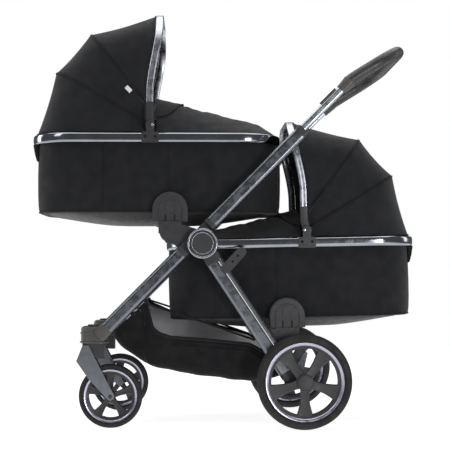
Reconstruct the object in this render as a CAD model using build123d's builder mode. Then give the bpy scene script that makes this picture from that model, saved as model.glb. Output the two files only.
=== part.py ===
"""Tandem pram: a folding four-wheel chassis that carries two carrycots, one above and one below.

Millimetres. +X points to the rear of the pram, +Z up, and -Y is the pram's left side.
The origin is on the floor, under the middle of the bounding box.
Side profiles are drawn on Plane.XZ, whose normal points to the left side, and pairs are mirrored about it.
"""

from build123d import *

import os
from math import cos, radians, sin

os.makedirs("parts", exist_ok=True)

# ---- clearances ------------------------------------------------------------------------------
clear = 0.3  # between pieces that move past each other
fit = 0.05  # radial, of a pin in its bore

# ---- hub and legs ----------------------------------------------------------------------------
hub = (-63.0, 526.0)
hub_radius, hub_ring_width, hub_ring_height = 43.5, 6.5, 7.0
hub_disc_thickness, hub_cap_step = 6.0, 1.5  # the cap stands that much lower than the ring
lobe_radius, lobe_thickness = 36.0, 7.5
pin_radius = 8.0
leg_y = 234.0  # to the middle of every leg tube
tube_thickness = 24.0  # across the pram
tube_round = 10.0
tube_wall = 2.0
fitting_start, fitting_end = 50.0, 64.0  # along each leg, from the hub

handle_angle, front_angle, rear_angle = 45.2, 225.2, 303.5  # from +X towards +Z
leg_offset = 24.0  # of the handle and front legs above the hub's axis
handle_width, front_width, rear_width = 38.0, 38.0, 50.0
handle_end, front_end, rear_end = 421.0, 362.0, 436.0  # along each leg, from the hub

# ---- handle ---------------------------------------------------------------------------------
slider_width, slider_thickness, slider_shift = 22.0, 16.0, 5.0
slider_start, slider_end = 300.0, 596.0
collar_length = 18.0
connector_length = 36.0
trigger_start, trigger_length, trigger_height = 526.0, 60.0, 6.0
grip_radius, bar_radius = 17.5, 9.0
grip_reach, grip_rise = 148.0, 92.0  # from the first bend to the cross bar
bend_radius, grip_corner = 70.0, 92.0

# ---- wheels ---------------------------------------------------------------------------------
rear_wheel_x, rear_wheel_radius, rear_wheel_y = 225.0, 135.0, 272.0
rear_tyre_width, rear_tyre_depth = 46.0, 24.0
front_wheel_x, front_wheel_radius = -325.0, 91.0
front_tyre_width, front_tyre_depth = 34.0, 15.0
rear_axle_radius, front_axle_radius, axle_tube_radius = 6.0, 5.0, 10.0
socket_length, axle_boss_radius = 16.0, 20.0  # of the fitting at the foot of each rear leg
rear_hub_radius, front_hub_radius = 24.0, 15.0
spoke_count = 5
rim_thickness = 8.0

# ---- castors --------------------------------------------------------------------------------
castor_y, swivel_x = 212.0, -372.0
stem_radius, stem_length = 8.0, 34.0
housing_bottom, housing_top = 241.0, 290.0
housing_length, housing_width, housing_corner = 76.0, 56.0, 26.0
castor_bottom, castor_width = 198.0, 36.0
arm_pivot = (-393.0, 223.0)
arm_pin_radius, arm_thickness, arm_gap = 4.0, 4.0, 0.5
crossbar_radius, crossbar_z = 9.0, 261.0

# ---- carrycots ------------------------------------------------------------------------------
cot_end, cot_length = 566.5, 736.0  # from the middle of the pram to each head end, and of each cot
cot_width, cot_corner = 416.0, 125.0  # outside the rail
rail_height = 28.8
tub_inset = 17.0  # from the rail's outside to the tub's
tub_wall, tub_floor, tub_depth = 6.0, 8.0, 218.0
tub_rim = 13.0  # above the rail's middle
base_depth, base_inset, base_width = 30.0, 36.0, 300.0
mattress_thickness = 38.0
canopy_thickness, canopy_gap, apron_thickness = 2.0, 2.0, 3.0
apron_foot_crest = 18.0
pivot_height = 36.0  # of the hood, above the rail's middle
pivot_pin_radius = 3.0
clamp_length, clamp_thickness, hinge_radius = 50.0, 5.0, 12.0  # of the hood's hinges on the rail
bow_width, bow_thickness = 24.0, 7.0
stay_width, stay_thickness, stay_step = 8.0, 4.0, 2.0
bow_corner = 125.0
bow_foot = 44.0  # from the hood's pivot to the bow's lower end
mid_angle, stay_angle, low_angle = 57.0, 30.5, -2.5
stay_lug_radius = 9.0
stay_face = 182.0  # inner face of the rear stay's legs; the mid stay and the bow follow outwards
lower_tilt = 1.2
bracket_drop, bracket_radius, bracket_depth, bracket_skirt = 210.0, 52.0, 24.0, 34.0
tongue_width, tongue_thickness, tongue_height = 50.0, 11.0, 60.0
button_width, button_height, button_travel, button_proud = 26.0, 34.0, 2.5, 2.0
adapter_foot_width, adapter_foot_height = 66.0, 34.0

# ---- brake, tandem bracket and basket -----------------------------------------------------------
pedal_tip = (252.0, 198.0)
pedal_width, pedal_lip_radius, pedal_ring = 72.0, 5.0, 7.0
bracket_low, bracket_high = (5.0, 455.0), (48.0, 502.0)
bracket_holes = ((23.0, 474.7), (38.0, 491.1))
bracket_hole_radius, bracket_plate = 3.5, 5.0
bracket_low_radius, bracket_high_radius = 15.0, 14.0
basket_half, basket_wall = 178.0, 3.0
basket_tab = (12.0, 20.0)
basket_tabs = ((-216.0, 366.0), (180.0, 160.0))

# ---- worked out from the above -----------------------------------------------------------------
tube_inner = leg_y - tube_thickness / 2
tube_outer = leg_y + tube_thickness / 2
ring_y = tube_outer + clear + hub_disc_thickness
tub_half = cot_width / 2 - tub_inset
rail_thickness = tub_inset - clear
tongue_y = tub_half + bracket_depth / 2 - tongue_thickness / 2
adapter_y = tongue_y + tongue_thickness + clear  # inner face of the adapters' arms
housing_side = housing_width / 2
axle_tip = rear_wheel_y + rear_tyre_width / 2 - 2
mid_face = stay_face + stay_thickness + stay_step
bow_face = mid_face + stay_thickness + 2 * stay_step
rear_axle = (rear_wheel_x, rear_wheel_radius)
front_axle = (front_wheel_x, front_wheel_radius)


def finish(piece, name):
    """Names a finished piece and writes it."""
    piece.part.label = name
    export_step(piece.part, f"parts/{name}.step")


def outward(distance):
    """The side plane that far to the left of the middle, facing outwards."""
    return Plane.XZ.offset(distance)


def spot(angle, distance, offset=0.0):
    """A point in the side view, that far along a leg, with the leg offset from the hub's axis."""
    c, s = cos(radians(angle)), sin(radians(angle))
    return hub[0] + distance * c - offset * s, hub[1] + distance * s + offset * c


def along(angle, distance, offset=0.0, y=-leg_y):
    """The plane across a leg at that distance. Its x runs across the pram."""
    x, z = spot(angle, distance, offset)
    return Plane(origin=(x, y, z), x_dir=(0, 1, 0), z_dir=(cos(radians(angle)), 0, sin(radians(angle))))


def leg_tubes(angle, offset, width, end):
    """A pair of straight oval tubes that leave the hub at an angle."""
    with BuildPart() as tubes:
        with BuildSketch(along(angle, fitting_end, offset)):
            RectangleRounded(tube_thickness, width, tube_round)
            RectangleRounded(
                tube_thickness - 2 * tube_wall,
                width - 2 * tube_wall,
                tube_round - tube_wall,
                mode=Mode.SUBTRACT,
            )
        extrude(amount=end - fitting_end)
        mirror(about=Plane.XZ)
    return tubes


def knuckles(angle, offset, width, layer):
    """A pair of hub fittings: a lobe on the hub's pin, in its own layer, and a plug for the tube."""
    near = tube_inner + layer * (lobe_thickness + clear)
    with BuildPart() as pair:
        with BuildSketch(outward(near)):
            with Locations(hub):
                Circle(lobe_radius)
            with BuildLine():
                Polyline(
                    spot(angle, 0, offset - width / 2 + 2),
                    spot(angle, fitting_start + 2, offset - width / 2 + 2),
                    spot(angle, fitting_start + 2, offset + width / 2 - 2),
                    spot(angle, 12, offset + width / 2 - 2),
                    spot(angle, 0, offset / 2),
                    close=True,
                )
            make_face()
            with Locations(hub):
                Circle(pin_radius + fit, mode=Mode.SUBTRACT)
        extrude(amount=lobe_thickness)
        with BuildSketch(along(angle, fitting_start, offset)):
            RectangleRounded(tube_thickness, width, tube_round)
        extrude(amount=fitting_end - fitting_start)
        mirror(about=Plane.XZ)
    return pair


# ---- rear frame -------------------------------------------------------------------------------
finish(leg_tubes(rear_angle, 0, rear_width, rear_end), "rear_legs")
finish(knuckles(rear_angle, 0, rear_width, 2), "rear_knuckles")

with BuildPart() as hub_discs:
    with BuildSketch(outward(tube_outer + clear)):
        with Locations(hub):
            Circle(hub_radius)
    extrude(amount=hub_disc_thickness)
    with BuildSketch(outward(ring_y)):
        with Locations(hub):
            Circle(hub_radius - hub_ring_width - clear)
    extrude(amount=hub_ring_height - hub_cap_step)
    fillet(hub_discs.faces().sort_by(Axis.Y)[0].edges(), 2)
    with BuildSketch(outward(adapter_y)):
        with Locations(hub):
            Circle(pin_radius)
    extrude(amount=tube_outer + clear - adapter_y)
    mirror(about=Plane.XZ)
finish(hub_discs, "hub_discs")

with BuildPart() as hub_rings:
    with BuildSketch(outward(ring_y)):
        with Locations(hub):
            Circle(hub_radius)
            Circle(hub_radius - hub_ring_width, mode=Mode.SUBTRACT)
    extrude(amount=hub_ring_height)
    fillet(hub_rings.faces().sort_by(Axis.Y)[0].edges(), 2.5)
    mirror(about=Plane.XZ)
finish(hub_rings, "hub_rings")

with BuildPart() as axle_housings:
    with BuildSketch(along(rear_angle, rear_end)):
        RectangleRounded(tube_thickness, rear_width, tube_round)
    extrude(amount=socket_length)
    with BuildSketch(outward(tube_inner)):
        with Locations(spot(rear_angle, rear_end + rear_width / 2 + 1)):
            Circle(rear_width / 2 - 1)
        with Locations(rear_axle):
            Circle(axle_boss_radius)
        make_hull()
    extrude(amount=tube_thickness)
    with BuildSketch(outward(tube_inner)):
        with Locations(rear_axle):
            Circle(axle_tube_radius + fit)
    extrude(amount=tube_thickness, mode=Mode.SUBTRACT)
    mirror(about=Plane.XZ)
finish(axle_housings, "axle_housings")

with BuildPart() as rear_axle_tube:
    with BuildSketch(outward(tube_outer)):
        with Locations(rear_axle):
            Circle(axle_tube_radius)
    extrude(amount=-2 * tube_outer)
    with BuildSketch(outward(axle_tip)):
        with Locations(rear_axle):
            Circle(rear_axle_radius)
    extrude(amount=-2 * axle_tip)
finish(rear_axle_tube, "rear_axle")

with BuildPart() as tandem_brackets:
    with BuildSketch(outward(tube_outer)):
        with Locations(bracket_low):
            Circle(bracket_low_radius)
        with Locations(bracket_high):
            Circle(bracket_high_radius)
        make_hull()
        with Locations(*bracket_holes):
            Circle(bracket_hole_radius, mode=Mode.SUBTRACT)
    extrude(amount=bracket_plate)
    mirror(about=Plane.XZ)
finish(tandem_brackets, "tandem_brackets")

with BuildPart() as brake_pedal:
    with BuildSketch(outward(pedal_width / 2)):
        with Locations(rear_axle):
            Circle(axle_tube_radius + pedal_ring)
        with Locations(pedal_tip):
            Circle(pedal_lip_radius)
        make_hull()
        with Locations(rear_axle):
            Circle(axle_tube_radius + fit, mode=Mode.SUBTRACT)
    extrude(amount=-pedal_width)
finish(brake_pedal, "brake_pedal")

basket_outline = (
    (-227, 361),
    (-335, 262),
    (-318, 240),
    (-70, 151),
    (75, 130),
    (186, 150),
    (186, 172),
    (66, 239),
    (-98, 270),
)
with BuildPart() as basket:
    with BuildSketch(outward(basket_half)):
        with BuildLine():
            Polyline(*basket_outline, close=True)
        make_face()
    extrude(amount=-2 * basket_half)
    with BuildSketch(outward(basket_half - basket_wall)):
        with BuildLine():
            Polyline(*basket_outline, close=True)
        make_face()
        offset(amount=-basket_wall, kind=Kind.INTERSECTION)
        with BuildLine():
            Polyline((-227, 353), (-227, 420), (182, 420), (182, 170), (66, 220), (-98, 250), close=True)
        make_face()
    extrude(amount=-2 * (basket_half - basket_wall), mode=Mode.SUBTRACT)
    for tab in basket_tabs:
        for side in (-1, 1):
            with BuildSketch(outward(side * tube_inner)):
                with Locations(tab):
                    Rectangle(*basket_tab)
            extrude(amount=side * (basket_half - basket_wall - tube_inner))
finish(basket, "basket")


# ---- handle -----------------------------------------------------------------------------------
def slider_hole():
    """The slider's way through an outer tube, drawn on the current sketch."""
    with Locations((0, slider_shift)):
        RectangleRounded(
            slider_thickness + 2 * clear,
            slider_width + 2 * clear,
            slider_thickness / 2 - 1 + clear,
            mode=Mode.SUBTRACT,
        )


with BuildPart() as handle_tubes:
    with BuildSketch(along(handle_angle, fitting_end, leg_offset)):
        RectangleRounded(tube_thickness, handle_width, tube_round)
        slider_hole()
    extrude(amount=handle_end - fitting_end)
    mirror(about=Plane.XZ)
finish(handle_tubes, "handle_tubes")
finish(knuckles(handle_angle, leg_offset, handle_width, 0), "handle_knuckles")

with BuildPart() as handle_collars:
    with BuildSketch(along(handle_angle, handle_end, leg_offset)):
        RectangleRounded(tube_thickness, handle_width + 2, tube_round)
        slider_hole()
    extrude(amount=collar_length)
    mirror(about=Plane.XZ)
finish(handle_collars, "handle_collars")

slider_offset = leg_offset + slider_shift
bar_start = spot(handle_angle, slider_end, slider_offset)
bar_bend = spot(handle_angle, slider_end + connector_length + 9, slider_offset)
bar_cross = (bar_bend[0] + grip_reach, bar_bend[1] + grip_rise)
bar_points = [
    (bar_start[0], -leg_y, bar_start[1]),
    (bar_bend[0], -leg_y, bar_bend[1]),
    (bar_cross[0], -leg_y, bar_cross[1]),
    (bar_cross[0], leg_y, bar_cross[1]),
    (bar_bend[0], leg_y, bar_bend[1]),
    (bar_start[0], leg_y, bar_start[1]),
]
bar_radii = [bend_radius, grip_corner, grip_corner, bend_radius]

with BuildPart() as handle_bar:
    with BuildLine() as bar_line:
        FilletPolyline(*bar_points, radius=bar_radii)
    with BuildSketch(along(handle_angle, slider_end, slider_offset)):
        Circle(bar_radius)
    sweep(path=bar_line.line)
    for side_y in (-leg_y, leg_y):
        with BuildSketch(along(handle_angle, slider_start, slider_offset, side_y)):
            RectangleRounded(slider_thickness, slider_width, slider_thickness / 2 - 1)
        extrude(amount=slider_end + 2 - slider_start)
finish(handle_bar, "handle_bar")

with BuildPart() as grip_connectors:
    with BuildSketch(along(handle_angle, slider_end, slider_offset)):
        RectangleRounded(tube_thickness + 2, 30, 11)
    with BuildSketch(along(handle_angle, slider_end + connector_length, slider_offset)):
        RectangleRounded(2 * grip_radius + 1, 2 * grip_radius + 3, 15)
    loft()
    mirror(about=Plane.XZ)
    add(handle_bar.part, mode=Mode.SUBTRACT)
finish(grip_connectors, "grip_connectors")

with BuildPart() as handle_grip:
    with BuildLine() as grip_line:
        FilletPolyline(*bar_points, radius=bar_radii)
    with BuildSketch(along(handle_angle, slider_end, slider_offset)):
        Circle(grip_radius)
        Circle(bar_radius, mode=Mode.SUBTRACT)
    sweep(path=grip_line.line)
    for side_y in (-leg_y, leg_y):
        with BuildSketch(along(handle_angle, slider_end - 1, slider_offset, side_y)):
            Rectangle(60, 60)
        extrude(amount=connector_length + 1, mode=Mode.SUBTRACT)
finish(handle_grip, "handle_grip")

for side, label in ((-1, "left"), (1, "right")):
    with BuildPart() as fold_trigger:
        with BuildSketch(along(handle_angle, trigger_start, slider_offset, side * leg_y)):
            with Locations((0, slider_width / 2 + clear + trigger_height / 2)):
                RectangleRounded(slider_thickness - 2, trigger_height, 2)
        extrude(amount=trigger_length)
    finish(fold_trigger, f"fold_trigger_{label}")

# ---- front frame ------------------------------------------------------------------------------
finish(leg_tubes(front_angle, -leg_offset, front_width, front_end), "front_legs")
finish(knuckles(front_angle, -leg_offset, front_width, 1), "front_knuckles")

with BuildPart() as castor_housings:
    with BuildSketch(Plane.XY.offset(housing_bottom)):
        with Locations((swivel_x, -castor_y)):
            RectangleRounded(housing_length, housing_width, housing_corner)
    extrude(amount=housing_top - housing_bottom)
    fillet(castor_housings.faces().sort_by(Axis.Z)[-1].edges(), 10)
    with BuildSketch(along(front_angle, front_end, -leg_offset)):
        RectangleRounded(tube_thickness + 2, front_width + 2, tube_round)
    extrude(amount=36)
    split(bisect_by=Plane.XY.offset(housing_bottom), keep=Keep.TOP)
    with BuildSketch(Plane.XY.offset(housing_bottom)):
        with Locations((swivel_x, -castor_y)):
            Circle(stem_radius + fit)
    extrude(amount=stem_length + 2, mode=Mode.SUBTRACT)
    mirror(about=Plane.XZ)
finish(castor_housings, "castor_housings")

with BuildPart() as front_crossbar:
    with BuildSketch(outward(castor_y - housing_side)):
        with Locations((swivel_x, crossbar_z)):
            Circle(crossbar_radius)
    extrude(amount=-2 * (castor_y - housing_side))
finish(front_crossbar, "front_crossbar")


# ---- castors ----------------------------------------------------------------------------------
def make_castor(middle, label):
    """One castor at that distance to the left: its swivelling body and its sprung arm."""
    half = castor_width / 2
    with BuildPart() as castor_body:
        with BuildSketch(outward(middle + half)):
            with BuildLine():
                Polyline(
                    (arm_pivot[0] - 12, housing_bottom - clear),
                    (arm_pivot[0] - 12, arm_pivot[1] - 8),
                    (swivel_x + 12, castor_bottom),
                    (swivel_x + 30, castor_bottom),
                    (swivel_x + 30, housing_bottom - clear),
                    close=True,
                )
            make_face()
            with Locations(arm_pivot):
                Circle(arm_pin_radius + fit, mode=Mode.SUBTRACT)
        extrude(amount=-castor_width)
        with BuildSketch(Plane.XY.offset(housing_bottom - clear)):
            with Locations((swivel_x, -middle)):
                Circle(stem_radius)
        extrude(amount=stem_length)
    finish(castor_body, f"castor_body_{label}")

    with BuildPart() as arm:
        for start in (middle + half + arm_gap, middle - half - arm_gap - arm_thickness):
            with BuildSketch(outward(start)):
                with Locations(front_axle):
                    Circle(11.5)
                with BuildLine():
                    Polyline(
                        (arm_pivot[0] + 6, arm_pivot[1] + 13),
                        (arm_pivot[0] - 11, arm_pivot[1] + 13),
                        (arm_pivot[0] - 29, arm_pivot[1] - 32),
                        (front_axle[0] - 62, front_axle[1] + 50),
                        (front_axle[0] - 9, front_axle[1] - 7),
                        (front_axle[0] + 9, front_axle[1] + 7),
                        (arm_pivot[0] + 36, arm_pivot[1] - 46),
                        close=True,
                    )
                make_face()
            extrude(amount=arm_thickness)
        with BuildSketch(outward(middle + half + arm_gap)):
            with Locations(arm_pivot):
                Circle(arm_pin_radius)
            with Locations(front_axle):
                Circle(front_axle_radius)
        extrude(amount=-castor_width - 2 * arm_gap)
    finish(arm, f"suspension_arm_{label}")


# ---- wheels -----------------------------------------------------------------------------------
def make_wheel(label, axle, middle, radius, width, depth, bore, hub_r, near, far, root, tip, turn):
    """One wheel: a spoked core with its hub from near to far, and a tyre around it."""
    rim_outer = radius - depth
    rim_inner = rim_outer - rim_thickness
    rim_half = width / 2 - 4
    centre = Plane(origin=(axle[0], -middle, axle[1]), x_dir=(1, 0, 0), z_dir=(0, -1, 0))
    with BuildPart() as core:
        with BuildSketch(centre.offset(rim_half)):
            Circle(rim_outer)
            Circle(rim_inner, mode=Mode.SUBTRACT)
        extrude(amount=-2 * rim_half)
        with BuildSketch(centre.offset(rim_half - 2)):
            with PolarLocations(0, spoke_count, start_angle=turn):
                Polygon(
                    (hub_r - 4, -root),
                    (rim_inner + 1, -tip),
                    (rim_inner + 1, tip),
                    (hub_r - 4, root),
                    align=None,
                )
        extrude(amount=-10)
        with BuildSketch(centre.offset(near)):
            Circle(hub_r)
        extrude(amount=far - near)
        with BuildSketch(centre.offset(near)):
            Circle(bore)
        extrude(amount=far - near, mode=Mode.SUBTRACT)
    finish(core, f"{label}_wheel")

    with BuildPart() as tyre:
        with BuildSketch(Plane(origin=(axle[0], -middle, axle[1]), x_dir=(1, 0, 0), z_dir=(0, 0, 1))):
            with Locations((radius - (depth - fit) / 2, 0)):
                RectangleRounded(depth - fit, width, depth / 2 - 1)
            with Locations((rim_outer + fit, 0)):
                Rectangle(depth / 2, width - 8, align=(Align.MIN, Align.CENTER))
        revolve(axis=Axis((axle[0], -middle, axle[1]), (0, 1, 0)))
    finish(tyre, f"{label}_tyre")


for side, label in ((1, "left"), (-1, "right")):
    make_castor(side * castor_y, label)
    front_hub = castor_width / 2 + arm_gap - clear
    make_wheel(
        f"front_{label}",
        front_axle,
        side * castor_y,
        front_wheel_radius,
        front_tyre_width,
        front_tyre_depth,
        bore=front_axle_radius + fit,
        hub_r=front_hub_radius,
        near=side * front_hub,
        far=-side * front_hub,
        root=7,
        tip=12,
        turn=90,
    )
    inner_gap = rear_wheel_y - tube_outer - clear
    make_wheel(
        f"rear_{label}",
        rear_axle,
        side * rear_wheel_y,
        rear_wheel_radius,
        rear_tyre_width,
        rear_tyre_depth,
        bore=rear_axle_radius + fit,
        hub_r=rear_hub_radius,
        near=side * (rear_tyre_width / 2 - 2),
        far=-side * inner_gap,
        root=11,
        tip=17,
        turn=54,
    )


# ---- carrycots ----------------------------------------------------------------------------------
def mid_reach(bow_reach):
    """How far the mid stay's middle line reaches, just inside the bow."""
    return bow_reach - bow_thickness - stay_step - stay_thickness / 2


def rear_reach(bow_reach):
    """How far the rear stay's middle line reaches, just inside the mid stay."""
    return mid_reach(bow_reach) - stay_thickness - stay_step


def make_carrycot(name, place, pivot_u, bracket_u, bow_reach, bow_angle, apron_crest):
    """One carrycot. In its own place x runs from the head end to the foot end at the rail's mid height."""
    pivot = Vector(pivot_u, 0, pivot_height)

    def set_in(plane):
        """A plane given in the cot's own place."""
        return Plane(place.location * plane.location)

    middle = set_in(Plane.XZ)
    upwards = Axis(place.origin, place.z_dir)
    sideways = Axis(place.origin, place.y_dir)

    def level(height):
        """The plane across the cot at that height over the rail's middle, at half its length."""
        return set_in(Plane(origin=(cot_length / 2, 0, height)))

    def side(distance):
        """The side plane that far out, facing outwards."""
        return set_in(Plane(origin=(0, -distance, 0), x_dir=(1, 0, 0), z_dir=(0, -1, 0)))

    def across(distance):
        """The plane across the cot that far from its head end."""
        return set_in(Plane(origin=(distance, 0, 0), x_dir=(0, 1, 0), z_dir=(1, 0, 0)))

    def bow_plane(angle, step=0.0):
        """The plane of a hood bow: x across, y away from the pivot. step moves it towards the foot end."""
        c, s = cos(radians(angle)), sin(radians(angle))
        origin = pivot + Vector(s, 0, c) * step
        return set_in(Plane(origin=origin, x_dir=(0, 1, 0), z_dir=(s, 0, c)))

    def radial(angle, distance):
        """A point of the side profile that far from the hood's pivot."""
        return pivot_u - distance * cos(radians(angle)), pivot_height + distance * sin(radians(angle))

    def outline(inset):
        """The cot's rounded outline, inset from the rail's outside, on the current sketch."""
        RectangleRounded(cot_length - 2 * inset, cot_width - 2 * inset, cot_corner - inset)

    # shell
    with BuildPart() as rail:
        with BuildSketch(level(-rail_height / 2)):
            outline(0)
            RectangleRounded(
                cot_length - 2 * rail_thickness,
                cot_width - 2 * rail_thickness,
                cot_corner - rail_thickness,
                mode=Mode.SUBTRACT,
            )
        extrude(amount=rail_height)
        fillet(rail.edges().filter_by(lambda e: e.length > 100), 6)
    finish(rail, f"{name}_rail")

    with BuildPart() as tub:
        with BuildSketch(level(tub_rim)):
            outline(tub_inset)
        extrude(amount=-tub_rim - tub_depth)
        fillet(tub.faces().sort_by(upwards)[0].edges(), 14)
        with BuildSketch(level(tub_rim)):
            outline(tub_inset + tub_wall)
        extrude(amount=tub_floor - tub_rim - tub_depth, mode=Mode.SUBTRACT)
    finish(tub, f"{name}_tub")

    with BuildPart() as base:
        with BuildSketch(level(-tub_depth)):
            RectangleRounded(cot_length - 2 * tub_inset - 2 * base_inset, base_width, 70)
        extrude(amount=-base_depth, taper=24)
        fillet(base.faces().sort_by(upwards)[0].edges(), 8)
    finish(base, f"{name}_base")

    with BuildPart() as mattress:
        with BuildSketch(level(tub_floor + clear - tub_depth)):
            outline(tub_inset + tub_wall + clear)
        extrude(amount=mattress_thickness)
        fillet(mattress.edges().group_by(upwards)[-1], 8)
    finish(mattress, f"{name}_mattress")

    # apron: a domed cover over the foot half
    seat = rail_height / 2 + clear
    apron_start, apron_end = pivot_u + 16, cot_length - 6
    apron_half = cot_width / 2 - 14
    with BuildPart() as apron:
        for inset in (0, apron_thickness):
            for distance, crest in ((apron_start, apron_crest), (apron_end, apron_foot_crest)):
                with BuildSketch(across(distance)):
                    with BuildLine():
                        ThreePointArc(
                            (-apron_half + inset, seat),
                            (0, seat + crest - inset),
                            (apron_half - inset, seat),
                        )
                        Line((apron_half - inset, seat), (-apron_half + inset, seat))
                    make_face()
            loft(mode=Mode.SUBTRACT if inset else Mode.ADD)
        with BuildSketch(level(seat - 1)):
            outline(8)
        extrude(amount=apron_crest + 20, mode=Mode.INTERSECT)
    finish(apron, f"{name}_apron")

    # hinges of the hood and brackets on the tub's sides
    hinge_y = cot_width / 2 + clear
    skirt = -bracket_drop - bracket_skirt
    with BuildPart() as fittings:
        with BuildSketch(side(hinge_y)):
            with Locations((pivot_u, 0)):
                RectangleRounded(clamp_length, rail_height + 3, 4)
            with Locations((pivot_u, pivot_height / 2)):
                Rectangle(2 * hinge_radius, pivot_height)
            with Locations((pivot_u, pivot_height)):
                Circle(hinge_radius)
        extrude(amount=clamp_thickness)
        with BuildSketch(side(hinge_y)):
            with Locations((pivot_u, pivot_height)):
                Circle(pivot_pin_radius)
        extrude(amount=stay_face - hinge_y)
        with BuildSketch(side(tub_half)):
            with BuildLine():
                crown = (bracket_u, -bracket_drop + bracket_radius)
                front_edge, back_edge = bracket_u - bracket_radius, bracket_u + bracket_radius
                ThreePointArc((front_edge, -bracket_drop), crown, (back_edge, -bracket_drop))
                Polyline(
                    (back_edge, -bracket_drop),
                    (back_edge, skirt),
                    (front_edge, skirt),
                    (front_edge, -bracket_drop),
                )
            make_face()
        extrude(amount=bracket_depth)
        fillet(fittings.faces().sort_by(sideways)[0].edges().filter_by(GeomType.CIRCLE), 4)
        with BuildSketch(side(tongue_y - clear)):
            with Locations((bracket_u, skirt)):
                Rectangle(
                    tongue_width + 2 * clear,
                    tongue_height + clear,
                    align=(Align.CENTER, Align.MIN),
                )
        extrude(amount=tongue_thickness + 2 * clear, mode=Mode.SUBTRACT)
        with BuildSketch(side(tub_half + bracket_depth - button_travel - clear)):
            with Locations((bracket_u, -bracket_drop + 8)):
                RectangleRounded(button_width + 2 * clear, button_height + 2 * clear, 8)
        extrude(amount=bracket_depth, mode=Mode.SUBTRACT)
        mirror(about=middle)
    finish(fittings, f"{name}_fittings")

    for across_sign, label in ((1, "left"), (-1, "right")):
        face = place.y_dir.Y * across_sign * (tub_half + bracket_depth + button_proud)
        with BuildPart() as button:
            with BuildSketch(side(face)):
                with Locations((bracket_u, -bracket_drop + 8)):
                    RectangleRounded(button_width, button_height, 7.7)
            extrude(amount=-button_proud if face > 0 else button_proud)
        finish(button, f"{name}_button_{label}")

    # hood bows, nested so that each can pass inside the next
    with BuildPart() as bow_ends:
        with BuildSketch(side(bow_face)):
            with Locations(radial(bow_angle, 0)):
                Circle(hinge_radius)
            with Locations(radial(bow_angle, bow_foot / 2)):
                Rectangle(bow_foot, bow_width, rotation=180 - bow_angle)
            with Locations((pivot_u, pivot_height)):
                Circle(pivot_pin_radius + fit, mode=Mode.SUBTRACT)
        extrude(amount=bow_thickness + 2)
        mirror(about=middle)
    finish(bow_ends, f"{name}_bow_ends")

    stay = (0, stay_thickness, stay_width)
    bows = (
        ("bow", bow_angle, bow_face + 1 + bow_thickness / 2, bow_reach - bow_thickness / 2)
        + (bow_foot, bow_thickness, bow_width),
        ("mid_stay", mid_angle, mid_face + stay_thickness / 2, mid_reach(bow_reach)) + stay,
        ("rear_stay", stay_angle, stay_face + stay_thickness / 2, rear_reach(bow_reach)) + stay,
    )
    for piece, angle, half, reach, foot, thick, wide in bows:
        plane = bow_plane(angle)
        with BuildPart() as bow:
            with BuildLine(plane) as bow_line:
                FilletPolyline((-half, foot), (-half, reach), (half, reach), (half, foot), radius=bow_corner)
            start = plane.from_local_coords(Vector(-half, foot, 0))
            with BuildSketch(Plane(origin=start, x_dir=plane.x_dir, z_dir=plane.y_dir)):
                Rectangle(thick, wide)
            sweep(path=bow_line.line)
            if foot == 0:
                with BuildSketch(side(half + thick / 2), side(thick / 2 - half)):
                    with Locations((pivot_u, pivot_height)):
                        Circle(stay_lug_radius)
                extrude(amount=-thick)
                with BuildSketch(side(half + thick / 2)):
                    with Locations((pivot_u, pivot_height)):
                        Circle(pivot_pin_radius + fit)
                extrude(amount=-2 * half - thick, mode=Mode.SUBTRACT)
        finish(bow, f"{name}_{piece}")

    # canopy: one skin from the bow over both stays to the rail
    over_stay = stay_thickness + canopy_gap + canopy_thickness
    over_reach = over_stay - stay_thickness / 2
    stations = (
        (bow_plane(bow_angle, -bow_width / 2 - 2), bow_face + 5, bow_reach - 3),
        (bow_plane(mid_angle), mid_face + over_stay, mid_reach(bow_reach) + over_reach),
        (bow_plane(stay_angle), stay_face + over_stay, rear_reach(bow_reach) + over_reach),
        (bow_plane(low_angle), cot_width / 2 - 12, pivot_u - 10),
    )
    with BuildPart() as canopy:
        for plane, half, reach in stations:
            with BuildSketch(plane):
                with BuildLine():
                    outer = [(-half, 30), (-half, reach), (half, reach), (half, 30)]
                    inner_half, inner_reach = half - canopy_thickness, reach - canopy_thickness
                    inner = [(inner_half, 30), (inner_half, inner_reach), (-inner_half, inner_reach),
                             (-inner_half, 30)]
                    FilletPolyline(*outer, radius=bow_corner)
                    FilletPolyline(*inner, radius=bow_corner - canopy_thickness)
                    Line(outer[0], inner[3])
                    Line(outer[3], inner[0])
                make_face()
        loft(ruled=True)
    finish(canopy, f"{name}_canopy")


tilt_cos, tilt_sin = cos(radians(lower_tilt)), sin(radians(lower_tilt))
places = {
    "upper": Plane(origin=(-cot_end, 0, 834.0), x_dir=(1, 0, 0), z_dir=(0, 0, 1)),
    "lower": Plane(
        origin=(cot_end, 0, 537.0), x_dir=(-tilt_cos, 0, -tilt_sin), z_dir=(-tilt_sin, 0, tilt_cos)
    ),
}
brackets = {"upper": 410.0, "lower": 390.0}
make_carrycot("upper", places["upper"], 352.0, brackets["upper"], 345.0, 93.4, 108.0)
make_carrycot("lower", places["lower"], 327.0, brackets["lower"], 330.0, 98.0, 52.0)


# ---- seat adapters: tongues on the chassis that the carrycots' brackets slide over -------------
def tongue_outline(place, along_cot, top, bottom, width):
    """Corners of an upright block under a bracket, in the side view."""
    corners = ((-width / 2, bottom), (width / 2, bottom), (width / 2, top), (-width / 2, top))
    points = [place.from_local_coords(Vector(along_cot + u, 0, w)) for u, w in corners]
    return [(point.X, point.Z) for point in points]


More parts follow.
